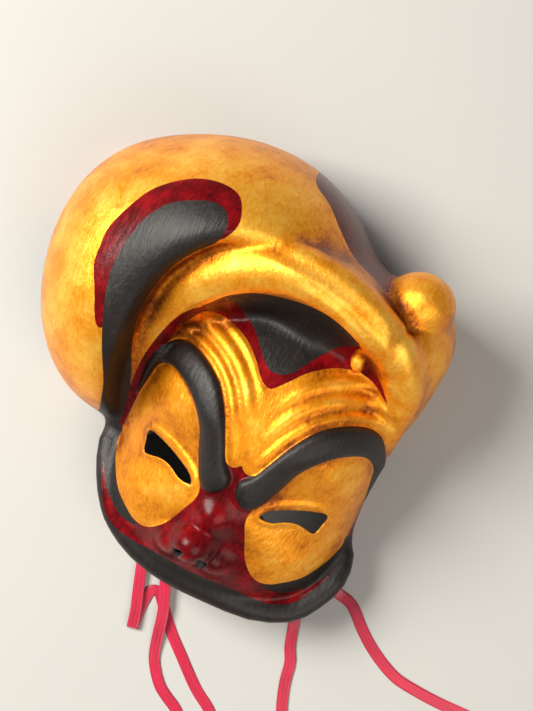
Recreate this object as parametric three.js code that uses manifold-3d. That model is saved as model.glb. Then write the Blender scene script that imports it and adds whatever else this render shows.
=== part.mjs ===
// A gilded and lacquered theatre half mask with a moulded cap, and its four silk ties.
// It lies on its open back: +Z comes out of the face, +Y runs towards the top of the cap,
// and +X is the wearer's left. Lengths are millimetres.
//
// The mask is drawn in face coordinates first: x from the middle plane of the face, y up from the
// place between the brows, z up from the floor. At the end everything moves so that the origin is
// under the middle of the mask.
import * as THREE from "three";
import { mergeVertices } from "three/addons/utils/BufferGeometryUtils.js";
import Module from "manifold-3d";

// ---- driving dimensions ----------------------------------------------------------------
const WALL = 3.2; // thickness of the lacquered paper wall
const FOOT_MIDDLE = new THREE.Vector3(-33, 50, 0); // middle of the footprint
const CORE = [83, 87, 78, 92, 92, 90, 84, 54, 52, 86, 100, 100]; // radii of a core inside the footprint, 30 degrees apart
const CORE_SHARE = 0.8; // share of the grid that stands over the core
const LEAN_FROM = 0.62; // share of the grid from which the probing rays lean outwards
const REACH = 170; // length of a ray
const GRID = 38; // cells across the shell
const EASING = 14; // rounds of evening out the grid
const ARCH_LIFT = 25; // degrees by which the upper lip's edge clears the floor
const ARCH_HALF = 62; // degrees each side of the chin over which it does
const BROW_HEIGHT = 4.2;
const EYE = new THREE.Vector3(12.9, 64.6, 607.6); // outlines are drawn as they look from here
const BROW_LEVEL = 60; // and on this level
const HOLE_DEPTH = 160; // how far the cutters for eyes and nostrils reach
const RIBBON = { width: 6, thick: 0.9, step: 5 };
const FLOOR_GAP = 0.6; // middle of a ribbon's thickness above the floor
const COIL = { radius: 30, band: 9, height: 2.4, segments: 32 };

const GOLD = 0xc98a1e;
const CRIMSON = 0xa3122c;

// ---- small helpers -----------------------------------------------------------------------
const clamp = (v, low, high) => Math.min(high, Math.max(low, v));
const ease = (t) => {
  const s = clamp(t, 0, 1);
  return s * s * (3 - 2 * s);
};
const bell = (t) => (Math.abs(t) < 1 ? (1 - t * t) ** 2 : 0);
const shoulder = (t) => Math.sqrt(1 - (1 - clamp(t, 0, 1)) ** 2);
const turned = (x, y, degrees) => {
  const a = THREE.MathUtils.degToRad(degrees);
  return [x * Math.cos(a) + y * Math.sin(a), y * Math.cos(a) - x * Math.sin(a)];
};

// A smooth line of places through hand-set points.
function smoothLine(points, closed, steps) {
  const places = points.map((p) => new THREE.Vector3(p[0], p[1], p[2] ?? 0));
  const curve = new THREE.CatmullRomCurve3(places, closed, "catmullrom", 0.5);
  const count = (closed ? points.length : points.length - 1) * steps;
  return Array.from({ length: count + 1 }, (_, i) => curve.getPoint(i / count));
}

// ---- forms: each gives a rough distance in mm, negative inside -----------------------------
function blob(p, [cx, cy, cz], [rx, ry, rz], { square = 2, turn = 0, lean = 0, under = 1 } = {}) {
  let [x, y] = turned(p.x - cx, p.y - cy, turn);
  let z = (p.z - cz) * (p.z < cz ? under : 1);
  [y, z] = turned(y, z, lean);
  const sum = Math.abs(x / rx) ** square + Math.abs(y / ry) ** square + Math.abs(z / rz) ** square;
  const size = sum ** (1 / square);
  return Math.hypot(x, y, z) * (1 - 1 / Math.max(size, 1e-6));
}

// A bar along a line in plan. `drapes` spread it downwards by that much per millimetre, like cloth
// that hangs from it; without them the bar is round.
function bar(p, line, radii, drapes = [0, 0]) {
  let best = Infinity;
  const last = line.length - 1;
  const along = (values, s) => {
    const k = Math.min(Math.floor(s * (values.length - 1)), values.length - 2);
    return values[k] + (s * (values.length - 1) - k) * (values[k + 1] - values[k]);
  };
  for (let i = 0; i < last; i++) {
    const [a, b] = [line[i], line[i + 1]];
    const [dx, dy] = [b.x - a.x, b.y - a.y];
    const t = clamp(((p.x - a.x) * dx + (p.y - a.y) * dy) / (dx * dx + dy * dy), 0, 1);
    const level = Math.hypot(p.x - a.x - t * dx, p.y - a.y - t * dy);
    const above = p.z - a.z - t * (b.z - a.z);
    const drape = along(drapes, (i + t) / last);
    const distance = above < 0 && drape ? level + above * drape : Math.hypot(level, above);
    best = Math.min(best, distance - along(radii, (i + t) / last));
  }
  return best;
}

// Forms melted together over a few millimetres, and one form cut away from another.
function joined(soft, ...forms) {
  const least = Math.min(...forms);
  return least - soft * Math.log(forms.reduce((s, g) => s + Math.exp((least - g) / soft), 0));
}
const cutAway = (soft, form, tool) => -joined(soft, -form, tool);

// The scarf rolled round the forehead, from the wearer's right temple over to the left.
const ROLL = smoothLine(
  [
    [-62, 4, 14], [-66, 24, 34], [-68, 42, 50], [-64, 62, 66], [-53, 80, 82], [-35, 95, 95],
    [-15, 103, 102], [5, 103, 102], [24, 98, 97], [43, 89.5, 86], [54.5, 76, 70], [57, 62, 54], [57, 50, 36],
  ],
  false,
  4,
);
const ROLL_RADII = [6, 8, 9, 9.5, 10.5, 11.5, 12, 12, 11.2, 9.8, 8.4, 6, 4.5];
const ROLL_DRAPES = [0.25, 0.25, 0.25, 0.22, 0.06, 0.03];

// The thick black edge round the cheeks and the upper lip, squarer at the wearer's left.
const EDGE_LEFT = [
  [54, 1, 18], [66, -10, 21], [67, -23, 24], [61, -36.5, 26], [52, -47, 28], [34, -53.5, 31], [11, -54.5, 33],
];
const EDGE_RIGHT = [
  [-67, 5, 16], [-68, -10, 21], [-61.5, -25, 24], [-52.5, -37.5, 26], [-44, -44.5, 28], [-30, -51, 31],
  [-11, -54.5, 33],
];
const EDGE = smoothLine([[-70, 9, 6], ...EDGE_RIGHT, ...EDGE_LEFT.toReversed()], false, 2);
const EDGE_RADII = [3, 4.6, 5, 5, 5, 5, 4.8, 3.4];

function cap(p) {
  const crown = blob(p, [-45.5, 97, 22], [71.5, 64, 92]);
  const lobe = blob(p, [-81.5, 72.5, 14], [55, 71, 80], { square: 2.1, turn: 12 });
  const opening = blob(p, [0, 42, 60], [73, 68, 200], { square: 2.6 });
  return cutAway(5, joined(9, crown, lobe), opening);
}

function knotSide(p) {
  const sheet = blob(p, [45, 89, 20], [25, 38, 52], { square: 2.4, turn: -7 });
  const back = blob(p, [4, 98, 30], [37, 30, 55]);
  const knot = blob(p, [43.5, 117, 66], [16.5, 15.5, 22], { under: 0.4 });
  const tuck = blob(p, [50, 98, 54], [17, 16, 22], { under: 0.4 });
  const bud = blob(p, [48.5, 101, 71], [7.5, 7, 10], { under: 0.4 });
  return joined(3, joined(8, sheet, back), joined(1.4, knot, joined(3, tuck, bud)));
}

function face(p) {
  const brow = blob(p, [0, 33, 14], [63, 76, 68], { square: 2.3, lean: 22 });
  const cheek = (side) => blob(p, [side * 32, -6, 2], [31.5, 42, 46], { square: 2.2 });
  const lip = blob(p, [0, -14, 10], [46, 42, 43], { square: 2.5 });
  const tip = blob(p, [-5, -31.5, 60], [10, 9.5, 13]);
  const wing = (side) => blob(p, [side * 11.5 - 4, -35.5, 49.5], [6.5, 6, 9.5]);
  const bridge = blob(p, [-1.5, -14, 61], [8.5, 8.5, 12.5]);
  const spine = blob(p, [-3.2, -24, 54], [6.5, 12, 11]);
  const nose = joined(1.8, tip, spine, bridge, wing(-1), wing(1));
  return joined(4, brow, joined(6, cheek(-1), cheek(1), lip), nose);
}

const form = (p) =>
  joined(3.5, face(p), joined(3, cap(p), knotSide(p)), bar(p, ROLL, ROLL_RADII, ROLL_DRAPES), bar(p, EDGE, EDGE_RADII));

// ---- raised work, drawn in plan for the +x half and mirrored --------------------------------
const BROW = smoothLine(
  [
    [8, -6], [2.5, -1], [2.5, 5], [8, 11], [13, 21], [18, 31], [26.5, 43], [37.5, 51], [48, 54.5], [55.5, 52],
    [60.5, 44], [62, 34], [60, 22], [58.5, 30], [57, 38], [52.5, 41], [46, 39], [36, 32], [26.5, 20.5],
    [21, 8], [14.5, -4],
  ],
  true,
  3,
);

// Where a place appears on the brow's level, from the eye above.
function seen(p) {
  const share = (EYE.z - BROW_LEVEL) / (EYE.z - p.z);
  return [EYE.x + (p.x - EYE.x) * share, EYE.y + (p.y - EYE.y) * share];
}

// Millimetres inside a closed outline, negative outside.
function inside(outline, x, y) {
  let best = Infinity;
  let odd = false;
  for (let i = 0; i + 1 < outline.length; i++) {
    const a = outline[i];
    const b = outline[i + 1];
    const [dx, dy] = [b.x - a.x, b.y - a.y];
    const t = clamp(((x - a.x) * dx + (y - a.y) * dy) / (dx * dx + dy * dy || 1), 0, 1);
    best = Math.min(best, Math.hypot(x - a.x - t * dx, y - a.y - t * dy));
    if (a.y > y !== b.y > y && x < a.x + ((y - a.y) / dy) * dx) odd = !odd;
  }
  return odd ? best : -best;
}

const raised = ([x, y]) => BROW_HEIGHT * shoulder(inside(BROW, Math.abs(x), y) / 6);
const sunk = ([x, y]) => 6 * bell(Math.hypot((Math.abs(x) - 34) / 30, (y - 4) / 26));

// ---- the shell ---------------------------------------------------------------------------
// A square grid is wrapped over half a ball. The ray of each grid place starts on the floor, over
// a core inside the footprint, and leans outwards towards the grid's edge. Where it meets the form
// is a place on the outer wall, and WALL deeper on the inner wall. Rays at the edge run level, so
// the rim is flat on the floor, except where the upper lip arches over it.
function coreRadius(azimuth) {
  const turn = ((azimuth / (2 * Math.PI)) * CORE.length + CORE.length) % CORE.length;
  const k = Math.floor(turn);
  const t = turn - k;
  const [p, q, r, s] = [-1, 0, 1, 2].map((step) => CORE[(k + step + CORE.length) % CORE.length]);
  return q + 0.5 * t * (r - p + t * (2 * p - 5 * q + 4 * r - s + t * (3 * (q - r) + s - p)));
}

function ray(column, row) {
  const gx = (2 * column) / GRID - 1;
  const gy = (2 * row) / GRID - 1;
  const u = gx * Math.sqrt(1 - (gy * gy) / 2);
  const v = gy * Math.sqrt(1 - (gx * gx) / 2);
  const share = Math.hypot(u, v);
  const azimuth = Math.atan2(v, u);
  const fromChin = Math.abs(THREE.MathUtils.radToDeg(Math.atan2(u, -v)));
  const lift = ARCH_LIFT * ease((ARCH_HALF - fromChin) / (ARCH_HALF / 2)) * share;
  const lean = clamp((share - LEAN_FROM) / (1 - LEAN_FROM), 0, 1) ** 2;
  const polar = THREE.MathUtils.degToRad((90 - lift) * lean);
  const out = coreRadius(azimuth) * Math.min(1, share / CORE_SHARE);
  const flat = Math.sin(polar);
  return {
    start: new THREE.Vector3(Math.cos(azimuth) * out, Math.sin(azimuth) * out, 0).add(FOOT_MIDDLE),
    direction: new THREE.Vector3(Math.cos(azimuth) * flat, Math.sin(azimuth) * flat, Math.cos(polar)),
    onRim: share > 0.9999,
  };
}

function crossing({ start, direction, onRim }, level) {
  const place = new THREE.Vector3();
  const at = (r) => form(place.copy(start).addScaledVector(direction, r)) - level;
  let low = REACH;
  for (let g = at(low); g > 0 && low > 0; g = at(low)) low -= Math.max(1.5, g * 0.5);
  let high = low + REACH / 10;
  for (let k = 0; k < 16; k++) {
    const middle = (low + high) / 2;
    if (at(middle) <= 0) low = middle;
    else high = middle;
  }
  place.copy(start).addScaledVector(direction, low);
  if (onRim && place.z < 0.5) place.z = 0;
  return place.clone();
}

// Moves a place along the form's own slope until it lies `level` mm outside the form.
const PROBE = 0.4;
function settle(place, level) {
  const slope = new THREE.Vector3();
  for (let k = 0; k < 2; k++) {
    const here = form(place);
    for (const axis of ["x", "y", "z"]) {
      const side = place.clone();
      side[axis] += PROBE;
      slope[axis] = (form(side) - here) / PROBE;
    }
    const steep = Math.max(slope.length(), 0.2);
    place.addScaledVector(slope.normalize(), clamp(level - here / steep, -4, 4));
  }
}

function wall(level, work) {
  const rays = [];
  for (let row = 0; row <= GRID; row++) for (let column = 0; column <= GRID; column++) rays.push(ray(column, row));
  const places = rays.map((one) => crossing(one, level));
  const at = (c, r) => places[r * (GRID + 1) + c];
  for (let round = 0; round < EASING; round++)
    for (let r = 1; r < GRID; r++)
      for (let c = 1; c < GRID; c++) {
        const mean = new THREE.Vector3();
        for (const [dc, dr] of [[1, 0], [-1, 0], [0, 1], [0, -1]]) mean.addScaledVector(at(c + dc, r + dr), 0.25);
        at(c, r).lerp(mean, 0.6);
        settle(at(c, r), level);
      }
  return places.map((p, i) => {
    const [c, r] = [i % (GRID + 1), Math.floor(i / (GRID + 1))];
    const across = new THREE.Vector3().subVectors(at(Math.min(c + 1, GRID), r), at(Math.max(c - 1, 0), r));
    const along = new THREE.Vector3().subVectors(at(c, Math.min(r + 1, GRID)), at(c, Math.max(r - 1, 0)));
    const normal = across.cross(along).normalize();
    const upright = new THREE.Vector3(0, 0, 1).addScaledVector(normal, 0.35).normalize();
    const way = normal.clone().lerp(upright, ease((normal.z - 0.1) / 0.4));
    const fade = ease((normal.z - 0.05) / 0.3) * ease((p.z - 6) / 10);
    return p.clone().addScaledVector(way, work(seen(p)) * fade);
  });
}

function shellGeometry() {
  const outer = wall(0, (q) => raised(q) - sunk(q));
  const inner = wall(-WALL, (q) => -sunk(q));
  const positions = [...outer, ...inner].flatMap((p) => p.toArray());
  const faces = [];
  const index = (layer, c, r) => layer * outer.length + r * (GRID + 1) + c;
  const quad = (a, b, c, d) => faces.push(a, b, c, a, c, d);
  for (let r = 0; r < GRID; r++)
    for (let c = 0; c < GRID; c++) {
      quad(index(0, c, r), index(0, c + 1, r), index(0, c + 1, r + 1), index(0, c, r + 1));
      quad(index(1, c, r), index(1, c, r + 1), index(1, c + 1, r + 1), index(1, c + 1, r));
    }
  for (let k = 0; k < GRID; k++) {
    quad(index(1, k, 0), index(1, k + 1, 0), index(0, k + 1, 0), index(0, k, 0));
    quad(index(0, k, GRID), index(0, k + 1, GRID), index(1, k + 1, GRID), index(1, k, GRID));
    quad(index(0, 0, k), index(0, 0, k + 1), index(1, 0, k + 1), index(1, 0, k));
    quad(index(1, GRID, k), index(1, GRID, k + 1), index(0, GRID, k + 1), index(0, GRID, k));
  }
  const geometry = new THREE.BufferGeometry();
  geometry.setAttribute("position", new THREE.Float32BufferAttribute(positions, 3));
  geometry.setIndex(faces);
  return geometry;
}

// ---- holes -----------------------------------------------------------------------------------
const SLIT = [
  [18.5, -6.5], [20, -3], [25, 0.5], [35, 5.3], [45, 8.5], [47.5, 7.5], [46.5, 3], [45, -2], [41, -2],
  [36, -1.5], [30.5, -3], [24.5, -6.3],
];
const NOSE_MIDDLE = -3.6;
const NOSTRIL = [[3.2, -38], [5, -37], [8.8, -37.2], [8.2, -39], [6.2, -41]];

// A solid whose outline narrows towards the eye above, like a line of sight.
function cutter(outline, side, middle) {
  const line = smoothLine(outline.map(([x, y]) => [middle + side * x, y]), true, 3);
  const shape = new THREE.Shape(line.slice(0, -1).map((p) => new THREE.Vector2(p.x, p.y)));
  const geometry = new THREE.ExtrudeGeometry(shape, { depth: HOLE_DEPTH, bevelEnabled: false });
  geometry.translate(0, 0, 5);
  const places = geometry.attributes.position;
  for (let i = 0; i < places.count; i++) {
    const share = (EYE.z - places.getZ(i)) / (EYE.z - BROW_LEVEL);
    places.setX(i, EYE.x + (places.getX(i) - EYE.x) * share);
    places.setY(i, EYE.y + (places.getY(i) - EYE.y) * share);
  }
  return geometry;
}

const wasm = await Module();
wasm.setup();

function solid(geometry) {
  const bare = geometry.clone();
  bare.deleteAttribute("normal");
  bare.deleteAttribute("uv");
  const merged = mergeVertices(bare, 1e-4);
  return new wasm.Manifold(
    new wasm.Mesh({
      numProp: 3,
      vertProperties: merged.attributes.position.array,
      triVerts: new Uint32Array(merged.index.array),
    }),
  );
}

function fromSolid(made) {
  const mesh = made.getMesh();
  const geometry = new THREE.BufferGeometry();
  geometry.setAttribute("position", new THREE.BufferAttribute(mesh.vertProperties, 3));
  geometry.setIndex(new THREE.BufferAttribute(mesh.triVerts, 1));
  geometry.computeVertexNormals();
  return geometry;
}

function maskGeometry() {
  let mask = solid(shellGeometry());
  for (const side of [-1, 1]) {
    mask = mask.subtract(solid(cutter(SLIT, side, 0)));
    mask = mask.subtract(solid(cutter(NOSTRIL, side, NOSE_MIDDLE)));
  }
  return fromSolid(mask);
}

// ---- ties --------------------------------------------------------------------------------
// Each silk ribbon is knotted inside the rim, comes out under the lip's edge, lies on the floor
// and ends in a loose coil. `route` runs from the rim to where the coil takes over; a place may
// give its own height where the ribbon is folded over itself.
const TIES = [
  {
    name: "tie_folded",
    route: [
      [-30.5, -50, 3.4], [-28.5, -57, 2.8], [-25.6, -66, 2.8], [-22.1, -76.8, 2.8], [-19, -86, 2.8], [-17.2, -93.5, 2.8],
      [-16.6, -96.2, 1.7], [-16.9, -93.5], [-17.2, -86], [-17.2, -79.5], [-16.4, -74.2], [-12.2, -72.6], [-8.6, -76.2],
      [2.3, -88.3], [12.5, -97.3], [26.9, -109.6], [39.3, -117.7], [46, -127], [52.4, -139.1],
    ],
    coil: [81.5, -164],
  },
  {
    name: "tie_right",
    route: [
      [-14.5, -53, 4.6], [-12.4, -62.7, 4.6], [-9.2, -70.5, 4.6], [-5.4, -80.9, 4.2], [-1.8, -97.3, 1.6], [1.8, -107.2],
      [10.5, -117.6], [23.5, -125.2], [28.5, -133.5], [30.4, -143],
    ],
    coil: [11.8, -179.5],
  },
  {
    name: "tie_middle",
    route: [
      [57, -47, 3], [59.5, -57.4], [62.5, -68.2], [66.1, -75.7], [68.3, -86.9], [73.5, -101.3], [81.1, -111],
      [91.6, -121.5], [101.3, -129],
    ],
    coil: [143.8, -128.7],
  },
  {
    name: "tie_left",
    route: [
      [66, -29.5, 3], [73.5, -32], [82.6, -34.5], [93.1, -43.9], [103.7, -51.5], [117.5, -58.1], [130.2, -60],
      [145.4, -60.6], [159.7, -60.2], [168.8, -60.3], [178.1, -61.3],
    ],
    coil: [212.6, -87],
  },
];

function ribbonGeometry(route) {
  const places = route.map(([x, y, z]) => new THREE.Vector3(x, y, z ?? FLOOR_GAP));
  const path = new THREE.CatmullRomCurve3(places, false, "centripetal");
  const [w, t] = [RIBBON.width / 2, RIBBON.thick / 2];
  const corner = 0.6;
  const section = new THREE.Shape([
    [t, corner - w], [t, w - corner], [t / 2, w], [-t / 2, w],
    [-t, w - corner], [-t, corner - w], [-t / 2, -w], [t / 2, -w],
  ].map(([x, y]) => new THREE.Vector2(x, y)));
  const steps = Math.ceil(path.getLength() / RIBBON.step);
  const tube = new THREE.ExtrudeGeometry(section, { steps, extrudePath: path, bevelEnabled: false });
  const corners = tube.getAttribute("position");
  for (let i = 0; i < corners.count; i++) {
    corners.setZ(i, Math.max(corners.getZ(i), FLOOR_GAP - t)); // it lies on the floor where it folds, too
  }
  return tube;
}

function coilGeometry([x, y]) {
  const [inner, outer] = [COIL.radius - COIL.band / 2, COIL.radius + COIL.band / 2];
  const profile = [[inner, 0], [outer, 0], [outer, COIL.height], [inner, COIL.height], [inner, 0]];
  const ring = new THREE.LatheGeometry(profile.map(([r, z]) => new THREE.Vector2(r, z)), COIL.segments);
  return ring.rotateX(Math.PI / 2).translate(x, y, 0);
}

// ---- the whole ------------------------------------------------------------------------------
const group = new THREE.Group();
const lacquer = new THREE.MeshStandardMaterial({ color: GOLD, roughness: 0.42, metalness: 0.6 });
const silk = new THREE.MeshStandardMaterial({ color: CRIMSON, roughness: 0.5 });

function add(name, geometry, material) {
  const mesh = new THREE.Mesh(geometry, material);
  mesh.name = name;
  group.add(mesh);
  return mesh;
}

const mask = add("mask_shell", maskGeometry(), lacquer);
for (const { name, route, coil } of TIES) {
  add(name, ribbonGeometry(route), silk);
  add(`${name}_coil`, coilGeometry(coil), silk);
}
mask.geometry.computeBoundingBox();
group.position.copy(mask.geometry.boundingBox.getCenter(new THREE.Vector3()).setZ(0)).negate();

export default group;
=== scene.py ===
# %% [markdown]
# # A gilded theatre half mask
#
# The real mask is one shell of papier-mache: layers of paper laid over a clay face and cap, primed,
# gilded, and painted with black and crimson lacquer. Four satin ribbons tie it on. Loose, it lies on
# its open back. This lesson builds the shell as one thin wall, cuts the painted areas into it, and
# gives each finish its own material.
#
# The first cell loads the CAD frame. Sizes are written in millimetres, and become the frame's metres
# when a piece is placed.

# %% Load the frame
from math import atan2, ceil, cos, hypot, pi, radians, sin

import bmesh
import bpy
import numpy as np
from mathutils import Matrix, Vector


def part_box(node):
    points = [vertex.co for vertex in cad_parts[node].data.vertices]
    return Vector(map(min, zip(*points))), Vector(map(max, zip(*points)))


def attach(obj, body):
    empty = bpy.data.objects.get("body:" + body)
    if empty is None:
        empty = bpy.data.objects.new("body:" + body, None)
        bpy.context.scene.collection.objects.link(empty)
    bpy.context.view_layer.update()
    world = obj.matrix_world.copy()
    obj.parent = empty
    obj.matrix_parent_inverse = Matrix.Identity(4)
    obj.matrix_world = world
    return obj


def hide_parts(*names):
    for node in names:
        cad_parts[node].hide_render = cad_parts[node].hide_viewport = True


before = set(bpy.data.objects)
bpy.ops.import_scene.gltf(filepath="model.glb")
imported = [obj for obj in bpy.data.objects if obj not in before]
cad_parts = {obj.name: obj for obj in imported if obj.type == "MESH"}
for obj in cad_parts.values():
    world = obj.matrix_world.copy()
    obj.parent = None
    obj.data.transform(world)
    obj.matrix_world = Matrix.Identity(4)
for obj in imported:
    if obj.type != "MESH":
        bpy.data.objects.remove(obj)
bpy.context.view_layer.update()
MM = 0.001

# %% [markdown]
# ## Where things are
#
# A face is easiest to draw about its own middle, so places are given in millimetres: x from the
# middle plane of the face, y up from the place between the brows, z up from the floor. One CAD node
# whose place is known in both ways, the left tie's coil, gives the shift into the frame.

# %% Face places and the frame
LEFT_COIL = (212.6, -87.0)
low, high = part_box("tie_left_coil")
coil_x, coil_y = (low[0] + high[0]) / 2 / MM, (low[1] + high[1]) / 2 / MM
SHIFT = np.array([coil_x - LEFT_COIL[0], coil_y - LEFT_COIL[1], 0.0])


def framed(place):
    """Face millimetres to metres in the frame."""
    return (np.asarray(place, float) + SHIFT) * MM


print("face origin in the frame, mm:", SHIFT.round(2))

# %% [markdown]
# ## The camera
#
# The mask lies face up on the floor, so the camera hangs above it at arm's length, with hardly any
# lean, turned by about 25 degrees. A lens of 58 mm on a 36 mm tall sensor keeps the nose from
# swelling.

# %% Camera
EYE = np.array([12.9, 64.6, 607.6])
EYE_LEAN, EYE_TURN = radians(2.6), radians(25.5)
BROW_LEVEL = 60.0
SENSOR_TALL, FOCAL_LENGTH, NEAREST_SEEN = 36.0, 58.2, 0.02

lens = bpy.data.cameras.new("overhead_camera")
lens.sensor_fit, lens.sensor_height, lens.lens = "VERTICAL", SENSOR_TALL, FOCAL_LENGTH
lens.clip_start = NEAREST_SEEN
camera = bpy.data.objects.new("overhead_camera", lens)
bpy.context.collection.objects.link(camera)
camera.matrix_world = (
    Matrix.Translation(framed(EYE)) @ Matrix.Rotation(EYE_LEAN, 4, "Y") @ Matrix.Rotation(EYE_TURN, 4, "Z")
)
bpy.context.scene.camera = camera
print("camera at", [round(v, 3) for v in camera.location])

# %% [markdown]
# ## The ribbons
#
# Satin ribbon 6 mm wide lies flat on the floor in loose turns. A curve with a bevel gives a round
# cord, so each ribbon is a long grid instead, laid along its route with one face kept upwards, and
# given a thickness. The grid's own UV map runs along the ribbon, so the satin's ribs follow every
# bend. Where a place in a route has a third number, that is its height, as it hangs from the rim.

# %% Ribbon routes
RIBBON_WIDTH, RIBBON_THICK, RIBBON_LENGTH = 6.0, 0.35, 400.0
RIBBON_STEP, CELLS_ACROSS, EDGE_RISE = 1.5, 6, 0.3
ON_FLOOR = 0.6
COIL_RADIUS, COIL_PITCH, STEPS_A_TURN = 30.0, 3.4, 72
SPARE_TURNS = 1.12  # wound longer than needed, then cut to length
JOINING = 0.35  # radians in which the laid stretch eases into the coil's spiral
CROSSING_LIFT, CROSSING_FROM, CROSSING_SPAN = 1.1, 5.2, 1.2  # mm and radians, a rise near one turn

TIES = {
    "tie_folded": dict(
        route=[
            (-30.5, -50, 3.4), (-28.5, -57, 2.8), (-25.6, -66, 2.8), (-22.1, -76.8, 2.8),
            (-19, -86, 2.8), (-17.2, -93.5, 2.8), (-16.6, -96.2, 1.7), (-16.9, -93.5), (-17.2, -86),
            (-17.2, -79.5), (-16.4, -74.2), (-12.2, -72.6), (-8.6, -76.2), (2.3, -88.3), (12.5, -97.3),
            (26.9, -109.6), (39.3, -117.7), (46, -127), (52.4, -139.1),
        ],
        coil=(81.5, -164), turn=1,
    ),
    "tie_right": dict(
        route=[
            (-14.5, -53, 4.6), (-12.4, -62.7, 4.6), (-9.2, -70.5, 4.6), (-5.4, -80.9, 4.2),
            (-1.8, -97.3, 1.6), (1.8, -107.2), (10.5, -117.6), (23.5, -125.2), (28.5, -133.5),
            (30.4, -143),
        ],
        coil=(11.8, -179.5), turn=-1,
    ),
    "tie_middle": dict(
        route=[
            (57, -47, 3), (59.5, -57.4), (62.5, -68.2), (66.1, -75.7), (68.3, -86.9), (73.5, -101.3),
            (81.1, -111), (91.6, -121.5), (101.3, -129),
        ],
        coil=(143.8, -128.7), turn=1,
    ),
    "tie_left": dict(
        route=[
            (66, -29.5, 3), (73.5, -32), (82.6, -34.5), (93.1, -43.9), (103.7, -51.5), (117.5, -58.1),
            (130.2, -60), (145.4, -60.6), (159.7, -60.2), (168.8, -60.3), (178.1, -61.3),
        ],
        coil=(212.6, -87.0), turn=-1,
    ),
}


def smooth_line(points, closed=False, steps=8):
    """Places on a smooth line through given points."""
    given = np.array(points, float)
    count = len(given)
    spans = count if closed else count - 1
    at = (lambda i: given[i % count]) if closed else (lambda i: given[min(max(i, 0), count - 1)])
    out = []
    for i in range(spans):
        a, b, c, d = at(i - 1), at(i), at(i + 1), at(i + 2)
        for k in range(steps):
            t = k / steps
            bend, twist = 2 * a - 5 * b + 4 * c - d, 3 * b - a - 3 * c + d
            out.append(0.5 * (2 * b + (c - a) * t + bend * t**2 + twist * t**3))
    if not closed:
        out.append(given[-1])
    return np.array(out)


def measured(line):
    """Distance along a line at each of its places."""
    return np.concatenate([[0], np.cumsum(np.linalg.norm(np.diff(line, axis=0), axis=1))])


def ribbon_line(route, coil, turn):
    """The whole route: the laid stretch, then loose turns round the coil's middle."""
    laid = smooth_line([(x, y, z[0] if z else ON_FLOOR) for x, y, *z in route], steps=10)
    centre = np.array(coil)
    arm = laid[-1, :2] - centre
    entry = hypot(*arm)
    start = atan2(arm[1], arm[0])
    rest = RIBBON_LENGTH - measured(laid)[-1]
    turns = SPARE_TURNS * rest / (2 * pi * (COIL_RADIUS - COIL_PITCH / 2))
    angles = np.linspace(0, turns * 2 * pi, ceil(turns * STEPS_A_TURN))[1:]
    spiral = COIL_RADIUS - COIL_PITCH * angles / (2 * pi)
    reach = spiral + (entry - COIL_RADIUS) * np.exp(-angles / JOINING)
    lift = ON_FLOOR + CROSSING_LIFT * np.clip((angles - CROSSING_FROM) / CROSSING_SPAN, 0, 1)
    swing = start + turn * angles
    wound = np.stack([centre[0] + reach * np.cos(swing), centre[1] + reach * np.sin(swing), lift], axis=1)
    line = smooth_line(np.vstack([laid[::4], laid[-1:], wound[3::6]]), steps=6)
    wanted = np.linspace(0, RIBBON_LENGTH, ceil(RIBBON_LENGTH / RIBBON_STEP) + 1)
    return np.stack([np.interp(wanted, measured(line), line[:, k]) for k in range(3)], axis=1)


def ribbon(name, route, coil, turn):
    """One ribbon: a grid bent along its line, thickened, and put in place of its two CAD nodes."""
    line = ribbon_line(route, coil, turn)
    ahead = np.gradient(line, axis=0)
    ahead /= np.linalg.norm(ahead, axis=1, keepdims=True)
    bm = bmesh.new()
    bm.loops.layers.uv.new("UVMap")
    bmesh.ops.create_grid(bm, x_segments=len(line) - 1, y_segments=CELLS_ACROSS, size=0.5, calc_uvs=True)
    side = Vector(ahead[0]).cross(Vector((0, 0, 1)))
    sides = []
    for way in map(Vector, ahead):
        side = side - way * side.dot(way)
        side.z = 0  # keeps both edges level, so that neither dips into the floor
        side.normalize()
        sides.append((np.array(side), np.array(side.cross(way))))
    for vert in bm.verts:
        k = round((vert.co.x + 0.5) * (len(line) - 1))
        share = vert.co.y * 2
        side, rise = sides[k]
        edge = RIBBON_THICK * EDGE_RISE * (abs(share) > 0.9)
        vert.co = framed(line[k] + side * share * RIBBON_WIDTH / 2 + rise * edge)
    bmesh.ops.solidify(bm, geom=bm.faces[:], thickness=RIBBON_THICK * MM)
    bmesh.ops.recalc_face_normals(bm, faces=bm.faces)
    mesh = bpy.data.meshes.new(name + "_satin")
    bm.to_mesh(mesh)
    bm.free()
    mesh.shade_smooth()
    piece = bpy.data.objects.new(name + "_ribbon", mesh)
    bpy.context.collection.objects.link(piece)
    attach(piece, "root")
    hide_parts(name, name + "_coil")
    return piece


ribbons = [ribbon(name, **facts) for name, facts in TIES.items()]

# %% [markdown]
# ## Forms that melt together
#
# The modeller's clay under the paper was a few big lumps pressed into each other: a brow, two
# cheeks, a lip, a nose, a cap with a drooping lobe, a rolled scarf and its knot. Here each lump is a
# function that tells how far a place is outside it. A soft minimum melts the lumps together as a
# thumb would, which metaballs can't do with square-shouldered lumps like the cheeks.

# %% Lumps, bars and how they join


def ease(t):
    """From 0 to 1 without a corner at either end."""
    t = np.clip(t, 0, 1)
    return t * t * (3 - 2 * t)


def bell(t):
    """A smooth hump: 1 in the middle, 0 from one unit away."""
    return np.where(np.abs(t) < 1, (1 - np.clip(t * t, 0, 1)) ** 2, 0)


def shoulder(t):
    """A quarter circle, steep at 0 and level at 1."""
    return np.sqrt(1 - (1 - np.clip(t, 0, 1)) ** 2)


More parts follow.
